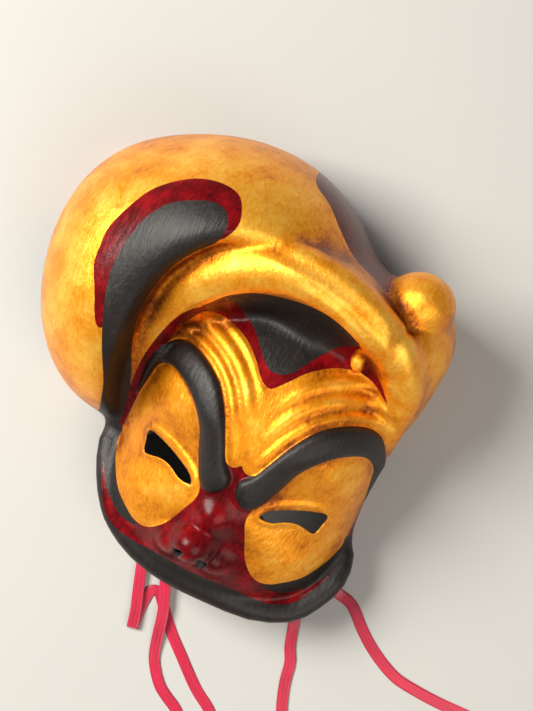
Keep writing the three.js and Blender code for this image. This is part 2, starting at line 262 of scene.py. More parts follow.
def lump(p, centre, radii, square=2.0, turn=0.0, lean=0.0, under=1.0):
    """Rough distance outside a lump. `square` above 2 squares its shoulders, and `under` below 1
    makes it longer underneath."""
    x, y, z = (p - np.array(centre, float)).T
    a, b = radians(turn), radians(lean)
    x, y = x * cos(a) + y * sin(a), y * cos(a) - x * sin(a)
    z = np.where(z < 0, z * under, z)
    y, z = y * cos(b) + z * sin(b), z * cos(b) - y * sin(b)
    size = sum(np.abs(way / radius) ** square for way, radius in zip((x, y, z), radii)) ** (1 / square)
    return np.sqrt(x * x + y * y + z * z) * (1 - 1 / np.maximum(size, 1e-6))


def along_line(line, values):
    """Spreads a few values evenly over all the places of a line."""
    return np.interp(np.linspace(0, 1, len(line)), np.linspace(0, 1, len(values)), values)


def bar(p, line, radii, drapes=(0, 0)):
    """Rough distance outside a bar along a line; `drapes` spread it downwards like hanging cloth."""
    best = np.full(len(p), 1e9)
    last = len(line) - 1
    sizes, hang = along_line(line, radii), along_line(line, drapes)
    for i in range(last):
        a, d = line[i], line[i + 1] - line[i]
        t = np.clip(((p[:, :2] - a[:2]) @ d[:2]) / (d[:2] @ d[:2]), 0, 1)
        level = np.hypot(p[:, 0] - a[0] - t * d[0], p[:, 1] - a[1] - t * d[1])
        above = p[:, 2] - a[2] - t * d[2]
        hung = level + above * (hang[i] + t * (hang[i + 1] - hang[i]))
        distance = np.where((above < 0) & (hang[i] > 0), hung, np.hypot(level, above))
        best = np.minimum(best, distance - sizes[i] - t * (sizes[i + 1] - sizes[i]))
    return best


def melt(soft, *forms):
    """Joins forms with a fillet about `soft` millimetres wide."""
    least = np.minimum.reduce(forms)
    return least - soft * np.log(sum(np.exp(-(form - least) / soft) for form in forms))


def carve(soft, form, tool):
    """Takes a tool's volume out of a form."""
    return -melt(soft, -form, tool)


print("lump, bar, melt and carve are ready")

# %% [markdown]
# ## The clay original
#
# These are the lumps themselves, from the top of the cap to the lip. The scarf's roll runs from the
# wearer's right temple over the forehead to the left, its knot sits over the left temple, and one
# bead sits under the roll.

# %% The lumps of the mask
ROLL = smooth_line(
    [
        (-62, 4, 14), (-66, 24, 34), (-68, 42, 50), (-64, 62, 66), (-53, 80, 82), (-35, 95, 95),
        (-15, 103, 102), (5, 103, 102), (24, 98, 97), (43, 89.5, 86), (54.5, 76, 70), (57, 62, 54),
        (57, 50, 36),
    ],
    steps=9,
)
ROLL_RADII = [6, 8, 9, 9.5, 10.5, 11.5, 12, 12, 11.2, 9.8, 8.4, 6, 4.5]
ROLL_DRAPES = [0.25, 0.25, 0.25, 0.22, 0.06, 0.03]
EDGE_LEFT = [
    (54, 1, 18), (66, -10, 21), (67, -23, 24), (61, -36.5, 26), (52, -47, 28), (34, -53.5, 31),
    (11, -54.5, 33),
]
EDGE_RIGHT = [
    (-67, 5, 16), (-68, -10, 21), (-61.5, -25, 24), (-52.5, -37.5, 26), (-44, -44.5, 28),
    (-30, -51, 31), (-11, -54.5, 33),
]
EDGE = smooth_line([(-70, 9, 6)] + EDGE_RIGHT + EDGE_LEFT[::-1], steps=2)
EDGE_RADII = [3, 4.6, 5, 5, 5, 5, 4.8, 3.4]


def cap(p):
    """The crown and its drooping lobe, open over the forehead."""
    crown = lump(p, (-45.5, 97, 22), (71.5, 64, 92))
    lobe = lump(p, (-81.5, 72.5, 14), (55, 71, 80), square=2.1, turn=12)
    opening = lump(p, (0, 42, 60), (73, 68, 200), square=2.6)
    return carve(5, melt(9, crown, lobe), opening)


def knot_side(p):
    """The cloth behind the left temple, with the knot, its tuck and its bud."""
    sheet = lump(p, (45, 89, 20), (25, 38, 52), square=2.4, turn=-7)
    back = lump(p, (4, 98, 30), (37, 30, 55))
    knot = lump(p, (43.5, 117, 66), (16.5, 15.5, 22), under=0.4)
    tuck = lump(p, (50, 98, 54), (17, 16, 22), under=0.4)
    bud = lump(p, (48.5, 101, 71), (7.5, 7, 10), under=0.4)
    return melt(3, melt(8, sheet, back), melt(1.4, knot, melt(3, tuck, bud)))


def face(p):
    """Brow, cheeks, upper lip, and the nose with its tip and wings."""
    brow = lump(p, (0, 33, 14), (63, 76, 68), square=2.3, lean=22)
    cheeks = [lump(p, (side * 32, -6, 2), (31.5, 42, 46), square=2.2) for side in (-1, 1)]
    lip = lump(p, (0, -14, 10), (46, 42, 43), square=2.5)
    tip = lump(p, (-5, -31.5, 60), (10, 9.5, 13))
    wings = [lump(p, (side * 11.5 - 4, -35.5, 49.5), (6.5, 6, 9.5)) for side in (-1, 1)]
    bridge = lump(p, (-1.5, -14, 61), (8.5, 8.5, 12.5))
    spine = lump(p, (-3.2, -24, 54), (6.5, 12, 11))
    return melt(4, brow, melt(6, *cheeks, lip), melt(1.8, tip, spine, bridge, *wings))


def clay(p):
    """The whole clay: the distance outside it, negative within."""
    roll = bar(p, ROLL, ROLL_RADII, ROLL_DRAPES)
    edge = bar(p, EDGE, EDGE_RADII)
    bead = lump(p, (27.9, 80.2, 77), (3.6, 4.8, 4.6))
    return melt(0.7, melt(3.5, face(p), melt(3, cap(p), knot_side(p)), roll, edge), bead)


between_brows = np.array([[0.0, 0.0, BROW_LEVEL]])
print("a place between the brows is", -clay(between_brows).round(1)[0], "mm inside the clay")

# %% [markdown]
# ## Laying the paper over the clay
#
# A sheet of grid is pressed onto the clay. Each corner of the grid looks down a straight ray at the
# clay from outside and stops where it meets it. The rays stand upright over most of the mask and
# lean outwards towards the grid's edge, until at the rim they run level with the floor, or rise from
# it by up to 25 degrees below the lip, where the rim arches. Then the corners are evened out and
# pressed back on, round after round, as one would smooth wet paper.

# %% Pressing a grid onto the clay
MIDDLE = np.array([-33.0, 50.0, 0.0])
CORE = [83, 87, 78, 92, 92, 90, 84, 54, 52, 86, 100, 100]
CORE_SHARE, LEAN_FROM = 0.8, 0.62
REACH = 170.0
ARCH_LIFT, ARCH_HALF = 25.0, 62.0
WALL = 3.2
COARSE = 80
FINE = 240
COARSE_ROUNDS, FINE_ROUNDS, EVENING = 14, 2, 0.6
MOST_STEPS, SHORTEST_STEP, STEP_SHARE, HALVINGS = 80, 1.5, 0.5, 16
PROBE, LEAST_SLOPE, LONGEST_MOVE = 0.4, 0.2, 4.0


def core_radius(azimuth):
    """How far out the upright rays reach in each direction, a smooth curve through CORE."""
    turn = (azimuth / (2 * pi) * len(CORE)) % len(CORE)
    k = np.floor(turn).astype(int)
    t = turn - k
    p, q, r, s = (np.array(CORE, float)[(k + step) % len(CORE)] for step in (-1, 0, 1, 2))
    return q + 0.5 * t * (r - p + t * (2 * p - 5 * q + 4 * r - s + t * (3 * (q - r) + s - p)))


def rays(cells):
    """Start and direction of each grid corner's ray, row by row, and which corners are on the rim."""
    line = np.linspace(-1, 1, cells + 1)
    gx, gy = np.meshgrid(line, line)
    u, v = (gx * np.sqrt(1 - gy**2 / 2)).ravel(), (gy * np.sqrt(1 - gx**2 / 2)).ravel()
    share, azimuth = np.hypot(u, v), np.arctan2(v, u)
    from_chin = np.abs(np.degrees(np.arctan2(u, -v)))
    lift = ARCH_LIFT * ease((ARCH_HALF - from_chin) / (ARCH_HALF / 2)) * share
    lean = np.clip((share - LEAN_FROM) / (1 - LEAN_FROM), 0, 1) ** 2
    polar = np.radians((90 - lift) * lean)
    out = core_radius(azimuth) * np.minimum(1, share / CORE_SHARE)
    start = MIDDLE + np.stack([np.cos(azimuth) * out, np.sin(azimuth) * out, 0 * out], axis=1)
    level = np.sin(polar)
    way = np.stack([np.cos(azimuth) * level, np.sin(azimuth) * level, np.cos(polar)], axis=1)
    return start, way, share > 0.9999


def pressed(start, way, on_rim, level):
    """Where each ray meets the clay's skin, `level` mm outside it."""
    low = np.full(len(start), REACH)
    for _ in range(MOST_STEPS):
        gap = clay(start + way * low[:, None]) - level
        low = np.where((gap > 0) & (low > 0), low - np.maximum(SHORTEST_STEP, gap * STEP_SHARE), low)
        if not ((gap > 0) & (low > 0)).any():
            break
    high = low + REACH / 10
    for _ in range(HALVINGS):
        middle = (low + high) / 2
        within = clay(start + way * middle[:, None]) <= level
        low, high = np.where(within, middle, low), np.where(within, high, middle)
    places = start + way * low[:, None]
    places[on_rim & (places[:, 2] < 0.5), 2] = 0
    return places


def settled(places, level):
    """Moves places along the clay's slope until they lie `level` mm outside it."""
    for _ in range(2):
        here = clay(places)
        slope = np.stack([(clay(places + PROBE * step) - here) / PROBE for step in np.eye(3)], axis=1)
        steep = np.maximum(np.linalg.norm(slope, axis=1), LEAST_SLOPE)
        move = np.clip(level - here / steep, -LONGEST_MOVE, LONGEST_MOVE)
        places = places + slope / steep[:, None] * move[:, None]
    return places


def evened(grid, share):
    """Draws each inner corner of a grid towards the mean of its four neighbours."""
    mean = (grid[1:-1, 2:] + grid[1:-1, :-2] + grid[2:, 1:-1] + grid[:-2, 1:-1]) / 4
    out = grid.copy()
    out[1:-1, 1:-1] += (mean - grid[1:-1, 1:-1]) * share
    return out


def sheet_over_clay(cells, level):
    """A grid of places on the clay: coarse and evened out first, then refined."""
    size = COARSE + 1
    grid = pressed(*rays(COARSE), level).reshape(size, size, 3)
    for _ in range(COARSE_ROUNDS):
        grid = evened(grid, EVENING)
        inner = grid[1:-1, 1:-1].reshape(-1, 3)
        grid[1:-1, 1:-1] = settled(inner, level).reshape(size - 2, size - 2, 3)
    fine = np.linspace(0, COARSE, cells + 1)
    k = np.minimum(fine.astype(int), COARSE - 1)
    t = fine - k
    grid = grid[k] * (1 - t)[:, None, None] + grid[k + 1] * t[:, None, None]
    grid = grid[:, k] * (1 - t)[None, :, None] + grid[:, k + 1] * t[None, :, None]
    rim = pressed(*rays(cells), level).reshape(cells + 1, cells + 1, 3)
    for edge in ((0, slice(None)), (-1, slice(None)), (slice(None), 0), (slice(None), -1)):
        grid[edge] = rim[edge]
    for _ in range(FINE_ROUNDS):
        grid = evened(grid, EVENING)
        inner = grid[1:-1, 1:-1].reshape(-1, 3)
        grid[1:-1, 1:-1] = settled(inner, level).reshape(cells - 1, cells - 1, 3)
    return grid


outer = sheet_over_clay(FINE, 0.0)
inner = sheet_over_clay(FINE // 2, -WALL)
corners = outer.reshape(-1, 3)
print("outer sheet", outer.shape, "lowest", corners.min(0).round(1), "highest", corners.max(0).round(1))

# %% [markdown]
# ## Drawing on the mask
#
# Brows, paint and openings are outlines drawn as they look from straight above at arm's length, on a
# plane through the brows. The face is the same on both sides, so most outlines are drawn once, for
# the wearer's left, and mirrored. Each outline becomes a function: millimetres inside it.

# %% Outlines seen from above


def seen(p):
    """Where a place appears on the brow's level, from the eye above."""
    share = (EYE[2] - BROW_LEVEL) / (EYE[2] - p[:, 2])
    return EYE[:2] + (p[:, :2] - EYE[:2]) * share[:, None]


def inside(outline, q):
    """Millimetres inside a closed outline, negative outside."""
    line = smooth_line(outline, closed=True, steps=6)
    best = np.full(len(q), 1e9)
    odd = np.zeros(len(q), bool)
    for a, b in zip(line, np.roll(line, -1, axis=0)):
        d = b - a
        t = np.clip(((q - a) @ d) / max(d @ d, 1e-9), 0, 1)
        best = np.minimum(best, np.hypot(*(q - a - t[:, None] * d).T))
        rising = (a[1] > q[:, 1]) != (b[1] > q[:, 1])
        odd ^= rising & (q[:, 0] < a[0] + (q[:, 1] - a[1]) / (d[1] if d[1] else 1e-9) * d[0])
    return np.where(odd, best, -best)


def both(q):
    """Folds the wearer's right side onto the left."""
    return np.stack([np.abs(q[:, 0]), q[:, 1]], axis=1)


BROW = [
    (8, -6), (2.5, -1), (2.5, 5), (8, 11), (13, 21), (18, 31), (26.5, 43), (37.5, 51), (48, 54.5),
    (55.5, 52), (60.5, 44), (62, 34), (60, 22), (58.5, 30), (57, 38), (52.5, 41), (46, 39), (36, 32),
    (26.5, 20.5), (21, 8), (14.5, -4),
]
PATCH = [
    (57, 41), (59.5, 31), (59.5, 20), (59.5, 9), (59, -2), (55.5, -12), (48.5, -23.5), (38, -32),
    (29, -34), (21.5, -28.5), (16.5, -19), (13, -8), (20, 8), (26, 20), (36, 33), (47, 40),
]
SLIT = [
    (18.5, -6.5), (20, -3), (25, 0.5), (35, 5.3), (45, 8.5), (47.5, 7.5), (46.5, 3), (45, -2), (41, -2),
    (36, -1.5), (30.5, -3), (24.5, -6.3),
]
NOSE_MIDDLE = np.array([-3.6, 0.0])
NOSTRIL = [(3.2, -38), (5, -37), (8.8, -37.2), (8.2, -39), (6.2, -41)]
FOREHEAD = [
    (-12, -8), (3, -4), (3, 5), (8, 11), (13, 21), (18, 31), (26.5, 43), (37.5, 51), (48, 54.5),
    (56, 53), (61, 46), (64, 56), (55, 76), (36, 90), (0, 96), (-30, 90), (-30, 20),
]
LIP_EDGE = [
    (-12, -43.8), (0, -44), (9, -43.5), (20, -42.8), (30, -42.5), (40.8, -41), (50.2, -35.5),
    (56.5, -25), (61.3, -14), (63.5, -4), (64, 5), (68, 9), (74, 6), (77, -4), (90, -20), (90, -70),
    (-12, -70),
]
CRESCENT = [
    (59.5, 4), (66, 4), (65, -4), (62.5, -11), (58.5, -18.5), (52.5, -26.5), (45, -33), (38, -35.5),
    (33, -34.8), (38, -32), (48.5, -23.5), (55.5, -12), (59, -2),
]
PEAK = [
    (-56.5, 62.5), (-50, 69.5), (-42, 72.8), (-32, 71.4), (-23, 67), (-16, 61), (-9.6, 53.7),
    (-6, 51.3), (-3.6, 51), (-1, 53), (3.7, 58.6), (10, 66), (19, 72.6), (27.6, 75.8), (34.3, 76),
    (41, 74), (47.8, 69.4), (50.5, 67.5), (44, 74.8), (35.7, 81.6), (23.3, 89.2), (11.6, 93.4),
    (0, 94.8), (-12.8, 93.5), (-26, 90.5), (-34, 87), (-41.6, 82), (-48, 75), (-53.5, 68.5),
]
TAIL = [
    (-48, 72), (-55, 60), (-58.5, 44), (-60.5, 25), (-61.5, 12), (-63, 10), (-64.5, 20), (-65, 40),
    (-60, 60), (-53, 70),
]
PEAK_BLACK = [
    (-41, 81.6), (-35, 80.5), (-27, 76.4), (-22, 73), (-17, 67.5), (-10, 60.4), (-4, 58.7), (2.2, 61.8),
    (6.8, 68.4), (12.5, 77), (18, 83.5), (25.8, 87.7), (23, 89.5), (11.6, 93.4), (0, 94.8),
    (-12.8, 93.5), (-26, 90.5), (-34, 87),
]
BEAD = [(30.3, 75.7), (32.5, 79.3), (30.8, 84.6), (26.9, 86.3), (24.7, 82.7), (26.4, 77.4)]
COMMA = [
    (-56, 114), (-60, 119), (-67, 120), (-77, 116), (-86, 110), (-93, 99), (-96.5, 85), (-97, 69),
    (-93, 53), (-85.5, 35), (-77, 19), (-71, 2), (-62, 3), (-65, 24), (-73, 43), (-76, 57), (-75, 70),
    (-71, 84), (-64, 95), (-56.5, 104),
]
COMMA_BORDER = [
    (-91, 42), (-101, 59), (-106, 69), (-107, 78), (-107, 88), (-102, 102), (-96, 113), (-86.5, 122),
    (-76, 128), (-65, 130), (-56.5, 128), (-52, 121), (-51, 114), (-54, 107), (-57, 104), (-65, 95),
    (-73, 84), (-78, 70), (-82, 55),
]
STREAK = [
    (-27, 151), (-15, 142), (-4, 132), (7, 124), (19, 119.5), (26.5, 116.5), (26.5, 122), (23, 130),
    (12, 148), (-8, 164), (-22, 168),
]
print("each brow has", len(BROW), "corners, each eye slit", len(SLIT))

# %% [markdown]
# ## Raised work
#
# On the clay the brows stand up as rounded bars, the forehead is creased in ridges that follow them,
# the cloth has long folds, and the eyes lie in shallow hollows. The outer sheet takes all of it. It
# is pushed mostly straight up where it lies flat and more outwards where it is steep, and not at all
# on upright sides or near the floor. The inner sheet follows it only in the hollows of the eyes.

# %% Push the raised work out
BROW_HEIGHT, LID_HEIGHT, BEAD_HEIGHT = 4.2, 0.8, 1.6
BROW_FOOT, BROW_ROUNDING = 0.6, 6.6
WRINKLE_HEIGHT, WRINKLE_PITCH, WRINKLE_START = 1.5, 8.8, 3.0
WRINKLE_SPREAD, WRINKLE_FADE = 30.0, 8.0
LID_GAP, LID_HALF = 1.2, 2.2
EYE_HOLLOW, HOLLOW_MIDDLE, HOLLOW_RADII = 6.0, (34.0, 4.0), (30.0, 26.0)
RISE_LEAN, STEEP_FROM, STEEP_SPAN = 0.35, 0.1, 0.4
FLOOR_CLEAR, FLOOR_FADE = 6.0, 10.0
CREASES = [  # line, half width, depth
    (
        [(-66, 92), (-58, 101), (-47, 108), (-33, 112), (-13, 111.5), (5, 108), (26, 101.5), (37, 94)],
        6.5, 1.5,
    ),
    ([(-14, 104), (2.3, 102.3), (17.2, 97.7), (30.8, 91.5), (41, 83)], 3.2, 1.1),
    ([(40, 103), (43, 94), (46, 86), (53, 70), (58, 53)], 5.5, 2.0),
    ([(38, 105), (42, 101.5), (46, 107)], 3.0, 1.8),
    ([(-109, 110), (-107, 98)], 3.0, 0.8),
]


def near_line(line, q):
    """Distance from an open line, and how far along it the nearest place is, from 0 to 1."""
    line = smooth_line(line, steps=5)
    best, share = np.full(len(q), 1e9), np.zeros(len(q))
    for i in range(len(line) - 1):
        a, d = line[i], line[i + 1] - line[i]
        t = np.clip(((q - a) @ d) / (d @ d), 0, 1)
        gap = np.hypot(*(q - a - t[:, None] * d).T)
        share = np.where(gap < best, (i + t) / (len(line) - 1), share)
        best = np.minimum(best, gap)
    return best, share


def creased(q):
    """Depth of the cloth's folds, running out towards both ends of each."""
    total = 0
    for line, half_width, depth in CREASES:
        gap, share = near_line(line, q)
        total = total + depth * bell(gap / half_width) * ease(np.minimum(share, 1 - share) / 0.16 + 0.15)
    return total


def raised(q):
    """Height of brows, wrinkles, eyelids and bead over the clay, less the folds."""
    half = both(q)
    brow = inside(BROW, half)
    top = BROW_HEIGHT * shoulder((brow + BROW_FOOT) / BROW_ROUNDING) * ease((brow + 0.8) / 2)
    out = np.clip(-brow, 0, 40)
    groove = np.abs((out - WRINKLE_START) % WRINKLE_PITCH - WRINKLE_PITCH / 2)
    wave = 1 - bell(groove / (WRINKLE_PITCH * 0.42))
    fade = ease(inside(FOREHEAD, half) / 5) * ease(-inside(PEAK, q) / 3) * ease((half[:, 0] - 2) / 10)
    fade = fade * ease((WRINKLE_SPREAD - out) / WRINKLE_FADE)
    lid = LID_HEIGHT * bell((-inside(SLIT, half) - LID_GAP) / LID_HALF)
    bead = BEAD_HEIGHT * shoulder(inside(BEAD, q) / 3.5) * (inside(BEAD, q) > 0)
    return top + WRINKLE_HEIGHT * wave * fade * ease(-brow) + lid + bead - creased(q)


def sunk(q):
    """Depth of the hollow round each eye."""
    away = (both(q) - HOLLOW_MIDDLE) / HOLLOW_RADII
    return EYE_HOLLOW * bell(np.hypot(away[:, 0], away[:, 1]))


def normals(grid):
    """The outward direction at each corner of a grid."""
    across, along = np.gradient(grid, axis=1), np.gradient(grid, axis=0)
    out = np.cross(across, along)
    return out / np.linalg.norm(out, axis=2, keepdims=True)


def worked(grid, height):
    """Pushes a grid out by a height, fading on steep sides and near the floor."""
    flat = grid.reshape(-1, 3)
    normal = normals(grid).reshape(-1, 3)
    upright = normal * RISE_LEAN + np.array([0, 0, 1.0])
    upright /= np.linalg.norm(upright, axis=1, keepdims=True)
    blend = ease((normal[:, 2:] - STEEP_FROM) / STEEP_SPAN)
    way = normal * (1 - blend) + upright * blend
    fade = ease((normal[:, 2] - 0.05) / 0.3) * ease((flat[:, 2] - FLOOR_CLEAR) / FLOOR_FADE)
    return (flat + way * (height(seen(flat)) * fade)[:, None]).reshape(grid.shape)


before = outer
outer = worked(outer, lambda q: raised(q) - sunk(q))
inner = worked(inner, lambda q: -sunk(q))
moved = np.linalg.norm(outer - before, axis=2)
print("raised work moves the outer sheet by up to", moved.max().round(1), "mm")

# %% [markdown]
# ## Cutting paint edges and openings
#
# A painted edge is sharp, and so is a cut eye slit. Where a function changes sign along a mesh
# edge, that edge is split there, or its near corner slides there, and the corners on the line are
# joined across each face. The outline then runs through the mesh itself, so faces on either side can
# take different finishes, or be taken out to open a hole.

# %% Cut along a line and build the two walls
NEAR_CORNER = 0.12  # a crossing this near a corner moves the corner, so that no sliver is left
OPEN_ABOVE = 20.0  # mm over the floor; eye slits and nostrils are all higher
FAR_OUTSIDE = -9.0
SHEET_SPAN = 260.0  # mm across the sheet, roughly, which gives a cell's size
HOLLOW_SIZES = ((2.0, 1.0), (6.0, 0.5))  # radius in mm, weight


def cut_line(bm, inside_of):
    """Splits faces along the line where inside_of changes sign."""
    bm.verts.ensure_lookup_table()
    places = np.array([v.co for v in bm.verts]) / MM - SHIFT
    value = dict(zip(bm.verts, inside_of(places)))
    crossing = [e for e in bm.edges if (value[e.verts[0]] < 0) != (value[e.verts[1]] < 0)]
    on_line = set()
    for edge in crossing:
        a, b = edge.verts
        if a in on_line or b in on_line:
            continue
        share = value[a] / (value[a] - value[b])
        if share < NEAR_CORNER or share > 1 - NEAR_CORNER:
            near, far, t = (a, b, share) if share < NEAR_CORNER else (b, a, 1 - share)
            near.co = near.co.lerp(far.co, t)
            on_line.add(near)
    for edge in crossing:
        a, b = edge.verts
        if a in on_line or b in on_line:
            continue
        _, new = bmesh.utils.edge_split(edge, a, value[a] / (value[a] - value[b]))
        on_line.add(new)
    bmesh.ops.connect_verts(bm, verts=list(on_line))


def open_holes(bm, opening):
    """Cuts a wall along the openings' outlines and takes out the faces within them."""
    cut_line(bm, opening)
    middles = np.array([f.calc_center_median() for f in bm.faces]) / MM - SHIFT
    gone = [f for f, value in zip(bm.faces, opening(middles)) if value > 0]
    bmesh.ops.delete(bm, geom=gone, context="FACES")


def hollowness(grid):
    """How far each place lies below its surroundings, in mm, over neighbourhoods of two sizes."""
    normal = normals(grid)
    total = 0
    for radius_mm, weight in HOLLOW_SIZES:
        rounds = max(2, round((radius_mm * FINE / SHEET_SPAN) ** 2 * 2))
        smooth = grid
        for _ in range(rounds):
            smooth = evened(smooth, 1.0)
        total = total + weight * ((smooth - grid) * normal).sum(axis=2)
    for _ in range(3):
        total = evened(total[:, :, None], 0.8)[:, :, 0]
    return total


def grid_mesh(grid):
    """One wall from a grid of places, with the hollowness kept on its corners for the gold."""
    cells = len(grid) - 1
    bm = bmesh.new()
    bmesh.ops.create_grid(bm, x_segments=cells, y_segments=cells, size=1)
    depth = bm.verts.layers.float.new("hollow")
    hollow = hollowness(grid)
    for vert in bm.verts:
        column, row = round((vert.co.x + 1) / 2 * cells), round((vert.co.y + 1) / 2 * cells)
        vert.co = framed(grid[row, column])
        vert[depth] = hollow[row, column]
    return bm


def openings(p):
    """Millimetres inside an eye slit or a nostril."""
    slit = inside(SLIT, both(seen(p)))
    nostril = inside(NOSTRIL, both(seen(p) - NOSE_MIDDLE))
    return np.where(p[:, 2] > OPEN_ABOVE, np.maximum(slit, nostril), FAR_OUTSIDE)


shell = grid_mesh(outer)
open_holes(shell, openings)
lining = grid_mesh(inner)
open_holes(lining, openings)
bmesh.ops.reverse_faces(lining, faces=lining.faces)
print("outer wall", len(shell.faces), "faces, inner wall", len(lining.faces))

# %% [markdown]
# ## Painted areas
#
# Gold covers everything first. Crimson covers the lower face, except the gold patches round the
# eyes, and borders the black shapes on the scarf and cap. Black goes on last: brows, rim, the
# crescents under the patches, and the big commas.

# %% Where crimson and black lie
FACE_TOP = 45.0
FLANK_FROM, FLANK_MIDDLE, FLANK_RADII, FLANK_SCALE = -100.0, (50.0, 18.0), (22.0, 20.0), 24.0
FLANK_BORDER, BEAD_RING = 11.0, 0.6
LOWER_FACE = [
    (-12, 13), (-7.5, 10.4), (-4.6, 9.4), (-2, 10.2), (-0.4, 11.8), (0.4, 11.8), (2, 10.2), (4.6, 9.4),
    (7.5, 10.4), (11, 12), (20, 6), (30, 20), (50, 34), (60, 30), (66, 20), (68, 8), (72, -30),
    (50, -60), (0, -62), (-12, -60),
]


def flank_comma(p, grow):
    """The comma low on the lobe's steep side, placed by y and z instead of from above."""
    away = (p[:, 1:] - FLANK_MIDDLE) / (np.array(FLANK_RADII) + grow)
    reach = np.hypot(away[:, 0], away[:, 1])
    return np.where(p[:, 0] < FLANK_FROM, (1 - reach) * FLANK_SCALE, FAR_OUTSIDE)


def crimson(p):
    """Positive where crimson lacquer lies."""
    q = seen(p)
    half = both(q)
    lower = np.minimum(inside(LOWER_FACE, half), -inside(PATCH, half))
    lower = np.where(p[:, 1] < FACE_TOP, lower, FAR_OUTSIDE)
    cap_side = np.maximum(inside(COMMA_BORDER, q), inside(STREAK, q))
    peak = np.minimum(np.maximum(inside(PEAK, q), inside(TAIL, q)), -inside(BEAD, q))
    return np.maximum.reduce([lower, cap_side, peak, flank_comma(p, FLANK_BORDER)])


def black(p):
    """Positive where black lacquer lies, over the crimson."""
    q = seen(p)
    half = both(q)
    face_work = np.maximum.reduce([inside(BROW, half), inside(CRESCENT, half), inside(LIP_EDGE, half)])
    peak = np.minimum(inside(PEAK_BLACK, q), -inside(BEAD, q) - BEAD_RING)
    return np.maximum.reduce([face_work, peak, inside(COMMA, q), flank_comma(p, 0)])


for paint in (crimson, black):
    cut_line(shell, paint)
GOLD, CRIMSON, BLACK, LINING = range(4)
middles = np.array([f.calc_center_median() for f in shell.faces]) / MM - SHIFT
is_red, is_black = crimson(middles) > 0, black(middles) > 0
for face_, red_, black_ in zip(shell.faces, is_red, is_black):
    face_.material_index = BLACK if black_ else CRIMSON if red_ else GOLD
for face_ in lining.faces:
    face_.material_index = LINING
print("crimson faces", int(is_red.sum()), "black faces", int(is_black.sum()))

# %% [markdown]
# ## Joining the walls
#
# The two sheets become one closed shell when their matching edges are bridged: round the rim, and
# through each eye slit and nostril, where the wall's thickness shows.

# %% Bridge the rim and the openings


def loops_of(bm):
    """The open edge loops of a mesh, longest first."""
    left = {e for e in bm.edges if e.is_boundary}
    loops = []
    while left:
        edge = left.pop()
        loop, queue = [edge], list(edge.verts)
        while queue:
            for other in queue.pop().link_edges:
                if other in left:
                    left.remove(other)
                    loop.append(other)
                    queue.extend(other.verts)
        loops.append(loop)
    return sorted(loops, key=len, reverse=True)


def middle_of(loop):
    return sum((v.co for e in loop for v in e.verts), Vector()) / (2 * len(loop))


def mismatch(loop, one):
    """Metres between two loops' middles, and a little more unless one has half the other's edges."""
    return (middle_of(loop) - middle_of(one)).length + abs(len(loop) - len(one) / 2) * 1e-5


wall = bpy.data.meshes.new("lining")
lining.to_mesh(wall)
lining.free()
shell.from_mesh(wall)
bpy.data.meshes.remove(wall)
loops = loops_of(shell)
pairs = []
while loops:
    one = loops.pop(0)
    other = min(loops, key=lambda loop: mismatch(loop, one))
    loops.remove(other)
    pairs.append((one, other))
for one, other in pairs:
    made = bmesh.ops.bridge_loops(shell, edges=one + other)["faces"]
    for face_ in made:
        face_.material_index = LINING
bmesh.ops.triangulate(shell, faces=[f for f in shell.faces if len(f.verts) > 4])
for face_ in shell.faces:
    face_.smooth = True
mask_mesh = bpy.data.meshes.new("mask")
shell.to_mesh(mask_mesh)
shell.free()
mask = bpy.data.objects.new("mask", mask_mesh)
bpy.context.collection.objects.link(mask)
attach(mask, "root")
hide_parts("mask_shell")
print("mask:", len(mask_mesh.polygons), "faces,", len(pairs), "bridged edges")

# %% [markdown]
# ## Materials
#
# Hex colours are what a painter would pick on a screen, so one function turns them into the linear
# values that a shader wants. The others each add a node or a small group of them.

# %% Colour and node helpers


def linear(hex_colour):
    """A screen colour as linear red, green, blue and alpha."""
    values = [int(hex_colour[i : i + 2], 16) / 255 for i in (1, 3, 5)]
    return (*[v / 12.92 if v <= 0.04045 else ((v + 0.055) / 1.055) ** 2.4 for v in values], 1.0)


def add(tree, kind, inputs=None, **settings):
    """Adds a node; an input given as a socket is linked, anything else is set."""
    made = tree.nodes.new(kind)
    for name, value in settings.items():
        setattr(made, name, value)
    for name, value in (inputs or {}).items():
        if isinstance(value, bpy.types.NodeSocket):
            tree.links.new(value, made.inputs[name])
        else:
            made.inputs[name].default_value = value
    return made


def material(name, **principled):
    """A new material, its node tree and its Principled shader."""
    made = bpy.data.materials.new(name)
    made.use_nodes = True
    shader = made.node_tree.nodes["Principled BSDF"]
    for key, value in principled.items():
        shader.inputs[key.replace("_", " ")].default_value = value
    return made, made.node_tree, shader


def ramp(tree, factor, stops):
    """Colours a value by a few stops, each a place from 0 to 1 and a hex colour."""
    made = add(tree, "ShaderNodeValToRGB", {"Fac": factor})
    elements = made.color_ramp.elements
    while len(elements) < len(stops):
        elements.new(0.5)
    for element, (place, colour) in zip(elements, stops):
        element.position, element.color = place, linear(colour)
    return made.outputs["Color"]


def pattern(tree, spacing_mm, detail=4.0, rough=0.55, stretch=(1, 1, 1), turn=0.0):
    """Cloudy noise whose lumps are about spacing_mm apart."""
    place = add(tree, "ShaderNodeTexCoord").outputs["Object"]
    laid = {"Vector": place, "Scale": stretch, "Rotation": (0, 0, radians(turn))}
    mapped = add(tree, "ShaderNodeMapping", laid).outputs["Vector"]
    noise = {"Vector": mapped, "Scale": 1 / (spacing_mm * MM), "Detail": detail, "Roughness": rough}
    return add(tree, "ShaderNodeTexNoise", noise).outputs["Fac"]


def spread(tree, value, low, high, to_low, to_high):
    """Maps a value from low..high onto to_low..to_high, and keeps it within."""
    spans = {"Value": value, 1: low, 2: high, 3: to_low, 4: to_high}
    return add(tree, "ShaderNodeMapRange", spans).outputs[0]


